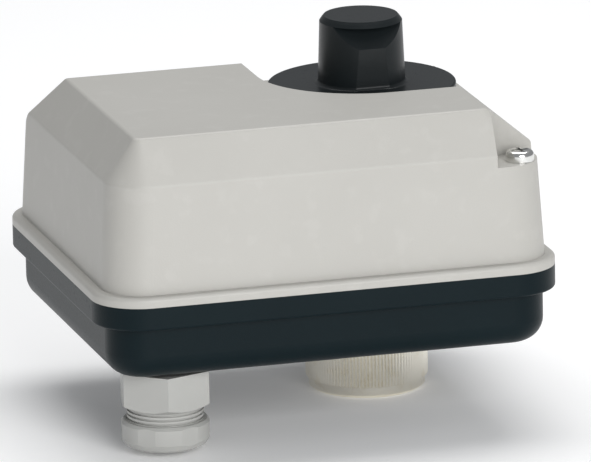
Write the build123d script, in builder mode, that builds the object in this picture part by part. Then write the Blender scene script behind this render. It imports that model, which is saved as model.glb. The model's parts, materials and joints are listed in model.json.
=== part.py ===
from build123d import *
import math
import os

os.makedirs("parts", exist_ok=True)

# Linear actuator for a globe valve. Millimetres, +Z up. The origin is on the lift stem's axis, at the
# inner end of the union nut's thread; the valve hangs below it, along -Z.

# ---- housing outline -------------------------------------------------------------------------------
rim_length = 140.0          # along X
rim_width = 120.4           # along Y
rim_corner = 15.0
axis_to_right = 41.0        # stem axis to the rim's right side
axis_to_rear = 48.4         # stem axis to the rim's rear side
rim_left = axis_to_right - rim_length
rim_front = axis_to_rear - rim_width

# ---- base housing ----------------------------------------------------------------------------------
floor_under = 17.5          # underside of the tub
floor_thickness = 2.5
floor_top = floor_under + floor_thickness
tub_inset = 3.7
tub_wall = 2.5
tub_edge_fillet = 7.0
tub_floor_fillet = 2.0
band_height = 6.9
parting_z = 40.5            # where base and cover meet
gasket_inset = 2.4
gasket_width = 2.0
gasket_height = 1.4
slack = 0.1                 # gap around pieces that stand still
running = 0.05              # radial gap of turning and sliding fits

# ---- cover -----------------------------------------------------------------------------------------
lip_height = 3.0
lip_round = 1.3
wall_inset = 3.0
cover_wall = 2.5
draft = 3.0                 # degrees
crease_z = 75.3             # top of the walls, where the roof's slopes start
roof_z = 88.4
roof_run = (8.4, 15.6, 6.7, 8.4)   # how far the slopes come in: left, right, front, rear
rear_slope_run = 26.0       # the long slope at the rear, from the rear wall to the roof
rear_crease_z = 63.0        # where it meets the rear wall
roof_round = 1.2
roof_corner = 2.0
crease_round = 2.0
tongue_depth = 3.0
tongue_thickness = 2.0
tongue_gap = 0.4
notch_radius = 32.0         # the roof is cut away around the knob
notch_floor = 80.5

# ---- cover screws ----------------------------------------------------------------------------------
screw_inset_x = 10.8        # from the rim's sides
screw_inset_y = 11.4
pocket_radius = 8.8
front_ledge_z = 72.0        # the shelf under the front screw's head
rear_ledge_z = 59.0
screw_radius = 1.95
screw_head_radius = 4.2
screw_head_height = 3.2
screw_head_round = 1.5
screw_slot = 5.0            # length of each arm of the cross
screw_slot_width = 1.0
screw_slot_depth = 1.6
screw_tip_z = 26.0
boss_radius = 5.0

# ---- knob ------------------------------------------------------------------------------------------
disc_radius = 28.0
disc_thickness = 3.4
disc_lift = 0.4             # gap under the disc
knob_radius = 13.0
knob_height = 20.5
knob_flare = 1.2
flat_distance = 11.9        # axis to the finger flat
flat_height = 12.5
slant_distance = 6.5        # axis to the slanted face where it meets the cap
cap_height = 1.7
cap_radius = 11.0
knob_shoulder = 12.3        # the knob's radius under its cap
disc_round = 0.6
hub_radius = 8.0
hub_reach = 3.5             # below the cover's notch floor
clip_width = 1.2
clip_depth = 1.0
clip_z = notch_floor - cover_wall - 0.2 - clip_width
disc_under = notch_floor + disc_lift
disc_top = disc_under + disc_thickness
knob_top = disc_top + knob_height

# ---- union nut and neck ----------------------------------------------------------------------------
thread_radius = 14.19       # inside of an M30 x 1.5 thread
thread_depth = 8.0
thread_over = 0.2
mouth_bevel = 0.5
nut_radius = 18.3
nut_ring_radius = 17.5
nut_ring_height = 3.2
nut_top = 6.0
nut_collar_height = 2.1
nut_relief_radius = 15.0
knurl_count = 110
knurl_depth = 0.3
neck_radius = 11.4
neck_flange_radius = 14.6
neck_flange_bottom = 0.5
neck_flange_height = 3.2
neck_spigot_radius = 9.4
neck_top = 27.0
neck_collar_gap = 0.4
neck_nut_flats = 26.0
neck_nut_height = 5.0

# ---- stem and drive --------------------------------------------------------------------------------
stroke = 5.5
stem_radius = 5.0
stem_flats = 8.0            # across the two flats that stop the stem turning
stem_tip_z = 1.0
stem_shoulder_z = 33.0
stem_top_z = 57.0
screw_thread_radius = 6.0
bush_wall = 1.5
sleeve_radius = 8.0
sleeve_bottom = 29.0
sleeve_top = 60.0
sleeve_bore_top = 62.5
drive_neck_radius = 6.0
drive_hex = 8.0             # across flats, under the knob
drive_tip_z = disc_top + 4.0
gear_z = 40.0
gear_width = 6.0
wheel_z = 34.0
wheel_width = 4.0
drive_hub_radius = 12.0
drive_teeth = 48
drive_module = 1.0
idler_teeth = 12
wheel_teeth = 40
wheel_module = 0.8
motor_teeth = 10
feedback_teeth = 32
addendum = 0.9
dedendum = 1.25
root_land = 0.05            # straight part of a tooth above its root
backlash = 0.14             # share of the tooth's thickness
pressure_angle = 20.0
idler_direction = 150.0     # degrees, seen from the stem axis
motor_direction = 200.0     # degrees, seen from the idler
feedback_direction = 270.0

# ---- gear plates -----------------------------------------------------------------------------------
plate_thickness = 1.5
lower_plate_z = 30.0
upper_plate_z = 52.0
plate_box = (-72.0, 30.0, -20.0, 24.0)
lobe_radius = 10.0
pillar_radius = 3.0
plate_post_inset = 4.5
arbor_radius = 2.0
motor_shaft_radius = 1.5
motor_radius = 18.0
gearbox_radius = 20.0
gearbox_height = 7.5
motor_top = 76.0
sensor_radius = 8.0
sensor_height = 8.5

# ---- cable gland -----------------------------------------------------------------------------------
gland_x = -75.5
gland_y = -48.9
gland_flats = 25.0
gland_hex_height = 12.5
gland_thread_radius = 11.3
gland_cap_top = 1.0
gland_cap_bottom = -7.0
gland_stem_radius = 9.8
gland_nut_height = 4.0
gland_bore = 6.5
cable_radius = 4.5
gland_turn = 19.0           # degrees, which way one corner of the hexagon points
gland_thread_pitch = 1.3
gland_thread_groove = 0.7

# ---- circuit board ---------------------------------------------------------------------------------
board_box = (-64.5, -19.5, -64.0, -25.0)
board_z = 44.0
board_thickness = 1.6
board_post_inset = 4.0
board_post_radius = 3.0
terminal_count = 6
terminal_pitch = 4.5


def framed(inset, radius_cut=0.0):
    """The rim's outline moved inwards, with its corners following."""
    corner = max(rim_corner - inset - radius_cut, 1.0)
    with Locations(((rim_left + axis_to_right) / 2, (rim_front + axis_to_rear) / 2)):
        RectangleRounded(rim_length - 2 * inset, rim_width - 2 * inset, corner)


def box_between(left, right, front, rear, corner):
    """A rounded rectangle given by its four sides."""
    with Locations(((left + right) / 2, (front + rear) / 2)):
        RectangleRounded(right - left, rear - front, corner)


def shell_body(grow, below):
    """The cover's outer form, or with a negative grow the hollow inside it."""
    lower_z = parting_z + lip_height - below
    rise = crease_z - parting_z - lip_height
    top_inset = wall_inset + rise * math.tan(math.radians(draft))
    left, right, front, rear = (top_inset + run for run in roof_run)
    half = grow / 2
    with BuildPart() as form:
        with BuildSketch(Plane.XY.offset(lower_z)):
            framed(wall_inset - grow)
        with BuildSketch(Plane.XY.offset(crease_z + half)):
            framed(top_inset - grow, wall_inset - top_inset)
        loft(ruled=True)
        with BuildSketch(Plane.XY.offset(crease_z + half)):
            framed(top_inset - grow, wall_inset - top_inset)
        with BuildSketch(Plane.XY.offset(roof_z + grow)):
            box_between(rim_left + left - half, axis_to_right - right + half,
                        rim_front + front - half, axis_to_rear - rear + half, roof_corner)
        loft(ruled=True)
    return form.part


def notch_body(centre, radius, bottom, way):
    """A round cut whose sides run out to the right and, as way is 1 or -1, to the rear or the front."""
    reach = rim_length
    x, y = centre
    with BuildPart() as notch:
        with BuildSketch(Plane.XY.offset(bottom)):
            with Locations((x, y)):
                Circle(radius)
            with Locations((x + reach / 2 - radius, y + way * reach / 2)):
                Rectangle(reach, reach)
            with Locations((x + reach / 2, y + way * (reach / 2 - radius))):
                Rectangle(reach, reach)
        extrude(amount=roof_z)
    return notch.part


def rear_wedge(grow):
    """What the long rear slope takes off; with a negative grow, for the hollow inside."""
    top_inset = wall_inset + (crease_z - parting_z - lip_height) * math.tan(math.radians(draft))
    foot_y = axis_to_rear - top_inset
    fall = (roof_z - rear_crease_z) / rear_slope_run
    lift = grow * math.hypot(1, fall)
    far = rear_slope_run
    with BuildPart() as wedge:
        with BuildSketch(Plane.YZ):
            with BuildLine():
                Polyline((foot_y + far, rear_crease_z - far * fall + lift),
                         (foot_y - 2 * far, rear_crease_z + 2 * far * fall + lift),
                         (foot_y + far, rear_crease_z + 2 * far * fall + lift), close=True)
            make_face()
        extrude(amount=rim_length, both=True)
    return wedge.part


def around_screws(grow, drop):
    """The pockets over the cover screws, grown by the wall and dropped by the shelf's thickness."""
    with BuildPart() as pockets:
        for x, y, ledge, way in cover_screw_spots:
            add(notch_body((x, y), pocket_radius + grow, ledge - drop, way))
    return pockets.part


def involute_half_angle(teeth, module, radius):
    """Half the angle that a tooth takes up at a radius."""
    pitch = teeth * module / 2
    base = pitch * math.cos(math.radians(pressure_angle))
    at_pitch = math.tan(math.radians(pressure_angle)) - math.radians(pressure_angle)
    local = math.acos(min(1.0, base / radius))
    half = math.pi / (2 * teeth) * (1 - backlash)
    return half + at_pitch - (math.tan(local) - local)


def gear_outline(teeth, module, turn):
    """An involute gear's outline, one tooth centred on the angle turn (degrees)."""
    pitch = teeth * module / 2
    base = pitch * math.cos(math.radians(pressure_angle))
    tip = pitch + addendum * module
    root = pitch - dedendum * module
    start = max(base, root + root_land * module)
    radii = [start + (tip - start) * step / 3 for step in range(4)]

    def spot(radius, angle):
        return (radius * math.cos(angle), radius * math.sin(angle))

    with BuildLine() as outline:
        for tooth in range(teeth):
            middle = math.radians(turn) + 2 * math.pi * tooth / teeth
            after = middle + 2 * math.pi / teeth
            angles = [involute_half_angle(teeth, module, radius) for radius in radii]
            rising = [spot(radius, middle - angle) for radius, angle in zip(radii, angles)]
            falling = [spot(radius, middle + angle) for radius, angle in zip(radii, angles)][::-1]
            Line(spot(root, middle - angles[0]), rising[0])
            Spline(*rising)
            Line(rising[-1], falling[0])
            Spline(*falling)
            Line(falling[-1], spot(root, middle + angles[0]))
            Line(spot(root, middle + angles[0]), spot(root, after - angles[0]))
    make_face(outline.edges())


def mesh_turn(teeth, turn, direction, mate_teeth):
    """The angle that puts the mating gear's gap over this gear's tooth."""
    phase = (direction - turn) * teeth / 360
    return direction + 180 - (0.5 - phase) * 360 / mate_teeth


def toward(start, distance, direction):
    """A point at a distance and a direction from another point."""
    angle = math.radians(direction)
    return (start[0] + distance * math.cos(angle), start[1] + distance * math.sin(angle))


drive_pitch = drive_teeth * drive_module / 2
idler_pitch = idler_teeth * drive_module / 2
wheel_pitch = wheel_teeth * wheel_module / 2
motor_pitch = motor_teeth * wheel_module / 2
feedback_pitch = feedback_teeth * drive_module / 2
idler_at = toward((0, 0), drive_pitch + idler_pitch, idler_direction)
motor_at = toward(idler_at, wheel_pitch + motor_pitch, motor_direction)
feedback_at = toward((0, 0), drive_pitch + feedback_pitch, feedback_direction)
idler_turn = mesh_turn(drive_teeth, 0, idler_direction, idler_teeth)
motor_turn = mesh_turn(wheel_teeth, 0, motor_direction, motor_teeth)
feedback_turn = mesh_turn(drive_teeth, 0, feedback_direction, feedback_teeth)
upper_plate_top = upper_plate_z + plate_thickness
lower_plate_top = lower_plate_z + plate_thickness
plate_posts = [(plate_box[side] + sign * plate_post_inset, plate_box[end] + other * plate_post_inset)
               for side, sign in ((0, 1), (1, -1)) for end, other in ((2, 1), (3, -1))]
board_top = board_z + board_thickness
board_posts = [(board_box[side] + sign * board_post_inset, board_box[end] + other * board_post_inset)
               for side, sign in ((0, 1), (1, -1)) for end, other in ((2, 1), (3, -1))]
screw_x = axis_to_right - screw_inset_x
cover_screw_spots = ((screw_x, rim_front + screw_inset_y, front_ledge_z, -1),
                     (screw_x, axis_to_rear - screw_inset_y, rear_ledge_z, 1))
screw_places = [(x, y) for x, y, ledge, way in cover_screw_spots]
hole_fit = 0.1

# ---- base housing ----------------------------------------------------------------------------------
with BuildPart() as base_housing:
    with BuildSketch(Plane.XY.offset(floor_under)):
        framed(tub_inset)
    extrude(amount=parting_z - floor_under)
    fillet(base_housing.faces().sort_by(Axis.Z)[0].edges(), tub_edge_fillet)
    with BuildSketch(Plane.XY.offset(parting_z - band_height)):
        framed(0)
    extrude(amount=band_height)
    fillet(base_housing.edges().filter_by_position(Axis.Z, parting_z - band_height - 0.01,
                                                   parting_z - band_height + 0.01)
           .group_by(SortBy.LENGTH)[-1], 0.8)
    with BuildSketch(Plane.XY.offset(floor_top)):
        framed(tub_inset + tub_wall)
    extrude(amount=parting_z, mode=Mode.SUBTRACT)
    fillet(base_housing.faces().filter_by_position(Axis.Z, floor_top - 0.01, floor_top + 0.01)[0].edges(),
           tub_floor_fillet)
    with BuildSketch(Plane.XY.offset(parting_z)):
        framed(gasket_inset)
        with BuildSketch(mode=Mode.PRIVATE) as gasket_inside:
            framed(gasket_inset + gasket_width)
        add(gasket_inside.sketch, mode=Mode.SUBTRACT)
    extrude(amount=-gasket_height, mode=Mode.SUBTRACT)
    with BuildSketch(Plane.XY.offset(floor_top)):
        with Locations(*screw_places):
            Circle(boss_radius)
        with BuildSketch(mode=Mode.PRIVATE) as tub_limit:
            framed(tub_inset + tub_wall - 0.5)
        add(tub_limit.sketch, mode=Mode.INTERSECT)
    extrude(amount=parting_z - tongue_depth - 1 - floor_top)
    with Locations(*[(x, y, parting_z) for x, y in screw_places]):
        Hole(screw_radius + hole_fit, depth=parting_z - screw_tip_z + 1)
    with BuildSketch(Plane.XY.offset(floor_top)):
        with Locations(*plate_posts):
            Circle(pillar_radius + 1)
    extrude(amount=lower_plate_z - floor_top)
    with BuildSketch(Plane.XY.offset(floor_top)):
        with Locations(*board_posts):
            Circle(board_post_radius)
    extrude(amount=board_z - floor_top)
    with BuildSketch(Plane.XY.offset(floor_under - 1)):
        Circle(neck_spigot_radius + hole_fit)
        with Locations((gland_x, gland_y)):
            Circle(gland_stem_radius + hole_fit)
    extrude(amount=floor_thickness + 2, mode=Mode.SUBTRACT)
base_housing.part.label = "base_housing"
export_step(base_housing.part, "parts/base_housing.step")

# ---- cover gasket ----------------------------------------------------------------------------------
with BuildPart() as cover_gasket:
    with BuildSketch(Plane.XY.offset(parting_z - gasket_height)):
        framed(gasket_inset + slack)
        with BuildSketch(mode=Mode.PRIVATE) as gasket_middle:
            framed(gasket_inset + gasket_width - slack)
        add(gasket_middle.sketch, mode=Mode.SUBTRACT)
    extrude(amount=gasket_height - slack)
cover_gasket.part.label = "cover_gasket"
export_step(cover_gasket.part, "parts/cover_gasket.step")

# ---- cover -----------------------------------------------------------------------------------------
with BuildPart() as cover_hollow:
    add(shell_body(-cover_wall, 2 * lip_height))
    add(rear_wedge(-cover_wall), mode=Mode.SUBTRACT)
    add(notch_body((0, 0), notch_radius + cover_wall, notch_floor - cover_wall, 1), mode=Mode.SUBTRACT)
    add(around_screws(cover_wall, cover_wall), mode=Mode.SUBTRACT)

with BuildPart() as cover_columns:
    for x, y, ledge, way in cover_screw_spots:
        with BuildSketch(Plane.XY.offset(parting_z)):
            with Locations((x, y)):
                Circle(screw_radius + cover_wall)
        extrude(amount=ledge - cover_wall / 2 - parting_z)
    add(shell_body(-cover_wall / 2, 2 * lip_height), mode=Mode.INTERSECT)

with BuildPart() as cover:
    add(shell_body(0, 0))
    fillet(cover.edges().filter_by_position(Axis.Z, crease_z - 0.01, crease_z + 0.01), crease_round)
    fillet(cover.faces().sort_by(Axis.Z)[-1].edges(), roof_round)
    add(rear_wedge(0), mode=Mode.SUBTRACT)
    with BuildSketch(Plane.XY.offset(parting_z)):
        framed(0)
    extrude(amount=lip_height)
    lip_edges = cover.edges().filter_by_position(Axis.Z, parting_z + lip_height - 0.01,
                                                 parting_z + lip_height + 0.01)
    fillet(lip_edges.sort_by(Axis.Y)[0], lip_round)
    add(cover_hollow.part, mode=Mode.SUBTRACT)
    with BuildSketch(Plane.XY.offset(parting_z - tongue_depth)):
        framed(tub_inset + tub_wall + tongue_gap)
        with BuildSketch(mode=Mode.PRIVATE) as tongue_inside:
            framed(tub_inset + tub_wall + tongue_gap + tongue_thickness)
        add(tongue_inside.sketch, mode=Mode.SUBTRACT)
    extrude(amount=tongue_depth + lip_height)
    with BuildSketch(Plane.XY.offset(parting_z)):
        framed(wall_inset)
        add(tongue_inside.sketch, mode=Mode.SUBTRACT)
    extrude(amount=lip_height)
    add(cover_columns.part)
    add(notch_body((0, 0), notch_radius, notch_floor, 1), mode=Mode.SUBTRACT)
    add(around_screws(0, 0), mode=Mode.SUBTRACT)
    with Locations(*[(x, y, ledge) for x, y, ledge, way in cover_screw_spots]):
        Hole(screw_radius + hole_fit, depth=roof_z)
    with Locations((0, 0, notch_floor)):
        Hole(hub_radius + running, depth=2 * cover_wall)
cover.part.label = "cover"
export_step(cover.part, "parts/cover.step")

# ---- cover screws ----------------------------------------------------------------------------------
with BuildPart() as cover_screws:
    for x, y, ledge, way in cover_screw_spots:
        with BuildSketch(Plane.XY.offset(screw_tip_z)):
            with Locations((x, y)):
                Circle(screw_radius)
        extrude(amount=ledge - screw_tip_z)
        with BuildSketch(Plane.XY.offset(ledge)):
            with Locations((x, y)):
                Circle(screw_head_radius)
        extrude(amount=screw_head_height)
        head_top = ledge + screw_head_height
        fillet(cover_screws.edges().filter_by_position(Axis.Z, head_top - 0.01, head_top + 0.01),
               screw_head_round)
        with BuildSketch(Plane.XY.offset(head_top)):
            with Locations((x, y)):
                Rectangle(screw_slot, screw_slot_width)
                Rectangle(screw_slot_width, screw_slot)
        extrude(amount=-screw_slot_depth, mode=Mode.SUBTRACT)
cover_screws.part.label = "cover_screws"
export_step(cover_screws.part, "parts/cover_screws.step")

# ---- manual knob -----------------------------------------------------------------------------------
hub_bottom_z = notch_floor - cover_wall - hub_reach
with BuildPart() as manual_knob:
    with BuildSketch(Plane.XZ):
        with BuildLine():
            Polyline((0, disc_under), (knob_radius, disc_under), (knob_radius, disc_top),
                     (knob_shoulder, knob_top - cap_height), (cap_radius + 0.6, knob_top - 0.7),
                     (cap_radius, knob_top), (0, knob_top), close=True)
        make_face()
    revolve(axis=Axis.Z)
    with BuildSketch(Plane.YZ.offset(-2 * knob_radius)):
        with BuildLine():
            Polyline((-2 * knob_radius, disc_top), (-flat_distance, disc_top),
                     (-flat_distance, disc_top + flat_height), (-slant_distance, knob_top - cap_height),
                     (-2 * knob_radius, knob_top - cap_height), close=True)
        make_face()
    extrude(amount=4 * knob_radius, mode=Mode.SUBTRACT)
    with BuildSketch(Plane.XY.offset(disc_under)):
        Circle(disc_radius)
    extrude(amount=disc_thickness)
    at_disc = manual_knob.edges().filter_by_position(Axis.Z, disc_top - 0.01, disc_top + 0.01)
    by_reach = at_disc.sort_by(SortBy.LENGTH)
    fillet(by_reach[:-1], knob_flare)
    fillet(by_reach[-1], disc_round)
    with BuildSketch(Plane.XY.offset(hub_bottom_z)):
        Circle(hub_radius)
    extrude(amount=disc_under - hub_bottom_z)
    with BuildSketch(Plane.XY.offset(hub_bottom_z)):
        RegularPolygon(drive_hex / 2 + slack, 6, major_radius=False)
    extrude(amount=drive_tip_z - hub_bottom_z + 0.5, mode=Mode.SUBTRACT)
    with BuildSketch(Plane.XY.offset(clip_z)):
        Circle(hub_radius + 1)
        Circle(hub_radius - clip_depth, mode=Mode.SUBTRACT)
    extrude(amount=clip_width, mode=Mode.SUBTRACT)
manual_knob.part.label = "manual_knob"
export_step(manual_knob.part, "parts/manual_knob.step")

with BuildPart() as knob_clip:
    with BuildSketch(Plane.XY.offset(clip_z + slack)):
        Circle(hub_radius + 1.6)
        Circle(hub_radius - clip_depth + slack, mode=Mode.SUBTRACT)
        with Locations((hub_radius, 0)):
            Rectangle(6, 4, mode=Mode.SUBTRACT)
    extrude(amount=clip_width - 2 * slack)
knob_clip.part.label = "knob_clip"
export_step(knob_clip.part, "parts/knob_clip.step")

# ---- union nut -------------------------------------------------------------------------------------
nut_bottom = -thread_depth - mouth_bevel
relief_top = nut_top - nut_collar_height
with BuildPart() as union_nut:
    with BuildSketch(Plane.XZ):
        with BuildLine():
            Polyline((thread_radius, thread_over), (thread_radius, -thread_depth),
                     (thread_radius + mouth_bevel, nut_bottom), (nut_ring_radius - 0.8, nut_bottom),
                     (nut_ring_radius, nut_bottom + 0.8), (nut_ring_radius, nut_bottom + nut_ring_height),
                     (nut_radius, nut_bottom + nut_ring_height + 0.4), (nut_radius, nut_top - 0.8),
                     (nut_radius - 0.8, nut_top), (neck_radius + neck_collar_gap, nut_top),
                     (neck_radius + neck_collar_gap, relief_top), (nut_relief_radius, relief_top),
                     (nut_relief_radius, thread_over), close=True)
        make_face()
    revolve(axis=Axis.Z)
    with BuildSketch(Plane.XY.offset(nut_top)):
        with PolarLocations(nut_radius + 0.1, knurl_count):
            Rectangle(2 * knurl_depth, 2 * knurl_depth, rotation=45)
    extrude(amount=nut_bottom + nut_ring_height - nut_top, mode=Mode.SUBTRACT)
union_nut.part.label = "union_nut"
export_step(union_nut.part, "parts/union_nut.step")

# ---- valve neck ------------------------------------------------------------------------------------
bush_radius = stem_radius + running + bush_wall
with BuildPart() as valve_neck:
    with BuildSketch(Plane.XZ):
        with BuildLine():
            Polyline((bush_radius, neck_flange_bottom), (neck_flange_radius - 0.5, neck_flange_bottom),
                     (neck_flange_radius, neck_flange_bottom + 0.5),
                     (neck_flange_radius, neck_flange_bottom + neck_flange_height),
                     (neck_radius, neck_flange_bottom + neck_flange_height),
                     (neck_radius, floor_under), (neck_spigot_radius, floor_under),
                     (neck_spigot_radius, neck_top - 0.8), (neck_spigot_radius - 0.8, neck_top),
                     (bush_radius, neck_top), close=True)
        make_face()
    revolve(axis=Axis.Z)
valve_neck.part.label = "valve_neck"
export_step(valve_neck.part, "parts/valve_neck.step")

with BuildPart() as neck_lock_nut:
    with BuildSketch(Plane.XY.offset(floor_top)):
        RegularPolygon(neck_nut_flats / 2, 6, major_radius=False)
        Circle(neck_spigot_radius + slack, mode=Mode.SUBTRACT)
    extrude(amount=neck_nut_height)
neck_lock_nut.part.label = "neck_lock_nut"
export_step(neck_lock_nut.part, "parts/neck_lock_nut.step")


def flatted(radius, across):
    """A round with two flats."""
    Circle(radius)
    Rectangle(2 * across, across, mode=Mode.INTERSECT)


with BuildPart() as stem_bush:
    with BuildSketch(Plane.XY.offset(neck_flange_bottom + 0.3)):
        Circle(bush_radius - 0.02)
        with BuildSketch(mode=Mode.PRIVATE) as bush_hole:
            flatted(stem_radius + running, stem_flats + 2 * running)
        add(bush_hole.sketch, mode=Mode.SUBTRACT)
    extrude(amount=neck_top - neck_flange_bottom - 0.6)
stem_bush.part.label = "stem_bush"
export_step(stem_bush.part, "parts/stem_bush.step")

# ---- lift stem: flatted below, a coarse screw above ------------------------------------------------
with BuildPart() as lift_stem:
    with BuildSketch(Plane.XY.offset(stem_tip_z)):
        flatted(stem_radius, stem_flats)
    extrude(amount=stem_shoulder_z - stem_tip_z)
    chamfer(lift_stem.faces().sort_by(Axis.Z)[0].edges(), 0.5)
    with BuildSketch(Plane.XY.offset(stem_shoulder_z)):
        Circle(screw_thread_radius)
    extrude(amount=stem_top_z - stem_shoulder_z)
    chamfer(lift_stem.faces().sort_by(Axis.Z)[-1].edges(), 0.6)
lift_stem.part.label = "lift_stem"
export_step(lift_stem.part, "parts/lift_stem.step")

# ---- drive shaft, turned by the motor's gears or by the knob ---------------------------------------
hub_bottom = lower_plate_top + plate_thickness + 0.2
with BuildPart() as drive_shaft:
    with BuildSketch(Plane.XZ):
        with BuildLine():
            Polyline((screw_thread_radius + running, sleeve_bottom), (sleeve_radius, sleeve_bottom),
                     (sleeve_radius, sleeve_top), (drive_neck_radius, sleeve_top + 5), (drive_neck_radius, sleeve_top + 12),
                     (0, sleeve_top + 12), (0, sleeve_bore_top),
                     (screw_thread_radius - 3, sleeve_bore_top),
                     (screw_thread_radius + running, sleeve_bore_top - 3), close=True)
        make_face()
    revolve(axis=Axis.Z)
    with BuildSketch(Plane.XY.offset(sleeve_top + 12)):
        RegularPolygon(drive_hex / 2, 6, major_radius=False)
    extrude(amount=drive_tip_z - sleeve_top - 12)
    chamfer(drive_shaft.faces().sort_by(Axis.Z)[-1].edges(), 0.6)
drive_shaft.part.label = "drive_shaft"
export_step(drive_shaft.part, "parts/drive_shaft.step")

with BuildPart() as drive_gear:
    with BuildSketch(Plane.XY.offset(gear_z)):
        gear_outline(drive_teeth, drive_module, 0)
    extrude(amount=gear_width)
    with BuildSketch(Plane.XY.offset(hub_bottom)):
        Circle(drive_hub_radius)
    extrude(amount=gear_z + gear_width + 1.5 - hub_bottom)
    with BuildSketch(Plane.XY.offset(gear_z + gear_width)):
        Circle(drive_pitch - 4)
        Circle(drive_hub_radius + 1.5, mode=Mode.SUBTRACT)
    extrude(amount=-1.6, mode=Mode.SUBTRACT)
    with BuildSketch(Plane.XY.offset(hub_bottom)):
        Circle(sleeve_radius + 0.02)
    extrude(amount=gear_width * 4, mode=Mode.SUBTRACT)
drive_gear.part.label = "drive_gear"
export_step(drive_gear.part, "parts/drive_gear.step")

# ---- idler: wheel and small gear in one piece ------------------------------------------------------
with BuildPart() as idler_gear:
    with BuildSketch(Plane.XY.offset(wheel_z)):
        with Locations(idler_at):
            with BuildSketch(mode=Mode.PRIVATE) as wheel_sketch:
                gear_outline(wheel_teeth, wheel_module, 0)
            add(wheel_sketch.sketch)
    extrude(amount=wheel_width)
    with BuildSketch(Plane.XY.offset(wheel_z + wheel_width)):
        with Locations(idler_at):
            with BuildSketch(mode=Mode.PRIVATE) as idler_sketch:
                gear_outline(idler_teeth, drive_module, idler_turn)
            add(idler_sketch.sketch)
    extrude(amount=gear_z + gear_width + 1 - wheel_z - wheel_width)
    with BuildSketch(Plane.XY.offset(lower_plate_top + 0.3)):
        with Locations(idler_at):
            Circle(arbor_radius + 2)
    extrude(amount=wheel_z - lower_plate_top - 0.3)
    with BuildSketch(Plane.XY.offset(gear_z + gear_width + 1)):
        with Locations(idler_at):
            Circle(arbor_radius + 1.8)
    extrude(amount=upper_plate_z - 0.3 - gear_z - gear_width - 1)
    with BuildSketch(Plane.XY.offset(lower_plate_z)):
        with Locations(idler_at):
            Circle(arbor_radius + running)
    extrude(amount=upper_plate_z - lower_plate_z, mode=Mode.SUBTRACT)
idler_gear.part.label = "idler_gear"
export_step(idler_gear.part, "parts/idler_gear.step")

# ---- motor pinion and its shaft --------------------------------------------------------------------
with BuildPart() as motor_pinion:
    with BuildSketch(Plane.XY.offset(wheel_z - 0.5)):
        with Locations(motor_at):
            with BuildSketch(mode=Mode.PRIVATE) as pinion_sketch:
                gear_outline(motor_teeth, wheel_module, motor_turn)
            add(pinion_sketch.sketch)
    extrude(amount=wheel_width + 1.5)
    with BuildSketch(Plane.XY.offset(wheel_z + wheel_width + 1)):
        with Locations(motor_at):
            Circle(motor_shaft_radius)
    extrude(amount=upper_plate_top + 4 - wheel_z - wheel_width - 1)
motor_pinion.part.label = "motor_pinion"
export_step(motor_pinion.part, "parts/motor_pinion.step")

# ---- position sensor's gear and shaft --------------------------------------------------------------
with BuildPart() as feedback_gear:
    with BuildSketch(Plane.XY.offset(gear_z + 1)):
        with Locations(feedback_at):
            with BuildSketch(mode=Mode.PRIVATE) as feedback_sketch:
                gear_outline(feedback_teeth, drive_module, feedback_turn)
            add(feedback_sketch.sketch)
    extrude(amount=gear_width - 2)
    with BuildSketch(Plane.XY.offset(lower_plate_top + 0.3)):
        with Locations(feedback_at):
            Circle(5)
    extrude(amount=gear_z + 1 - lower_plate_top - 0.3)
    with BuildSketch(Plane.XY.offset(gear_z + gear_width - 1)):
        with Locations(feedback_at):
            Circle(3)
    extrude(amount=upper_plate_top + 5 - gear_z - gear_width + 1)
    with BuildSketch(Plane.XY.offset(lower_plate_z)):
        with Locations(feedback_at):
            Circle(arbor_radius + running)
    extrude(amount=gear_z + 2 - lower_plate_z, mode=Mode.SUBTRACT)
feedback_gear.part.label = "feedback_gear"
export_step(feedback_gear.part, "parts/feedback_gear.step")

# ---- gear plates, with their bushes, posts, arbors and screws --------------------------------------


def plate_outline():
    """Both plates have one outline: a rectangle with a lobe for the position sensor."""
    box_between(*plate_box, 3)
    with Locations(feedback_at):
        Circle(lobe_radius)
    with Locations((feedback_at[0], (feedback_at[1] + plate_box[2]) / 2)):
        Rectangle(2 * lobe_radius, plate_box[2] - feedback_at[1])


bush_outer = sleeve_radius + running + bush_wall
with BuildPart() as lower_plate:
    with BuildSketch(Plane.XY.offset(lower_plate_z)):
        plate_outline()
        Circle(bush_outer + 0.02, mode=Mode.SUBTRACT)
        with Locations(*plate_posts):
            Circle(1.6, mode=Mode.SUBTRACT)
        with Locations(idler_at, feedback_at):
            Circle(arbor_radius + 0.02, mode=Mode.SUBTRACT)
    extrude(amount=plate_thickness)
lower_plate.part.label = "lower_plate"
export_step(lower_plate.part, "parts/lower_plate.step")

with BuildPart() as upper_plate:
    with BuildSketch(Plane.XY.offset(upper_plate_z)):
        plate_outline()
        Circle(bush_outer + 0.02, mode=Mode.SUBTRACT)
        with Locations(*plate_posts):
            Circle(1.6, mode=Mode.SUBTRACT)
        with Locations(idler_at):
            Circle(arbor_radius + 0.02, mode=Mode.SUBTRACT)
        with Locations(feedback_at):
            Circle(4, mode=Mode.SUBTRACT)
        with Locations(motor_at):
            Circle(6, mode=Mode.SUBTRACT)
    extrude(amount=plate_thickness)
upper_plate.part.label = "upper_plate"
export_step(upper_plate.part, "parts/upper_plate.step")


def flanged_bush(plate_bottom, flange_bottom):
    """A bronze bush for the drive shaft, pressed into a plate."""
    with BuildPart() as bush:
        with BuildSketch(Plane.XY.offset(plate_bottom)):
            Circle(bush_outer)
        extrude(amount=plate_thickness)
        with BuildSketch(Plane.XY.offset(flange_bottom)):
            Circle(bush_outer + 1.5)
        extrude(amount=plate_thickness)
        with BuildSketch(Plane.XY.offset(plate_bottom - plate_thickness)):
            Circle(sleeve_radius + running)
        extrude(amount=3 * plate_thickness, mode=Mode.SUBTRACT)
    return bush.part


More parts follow.
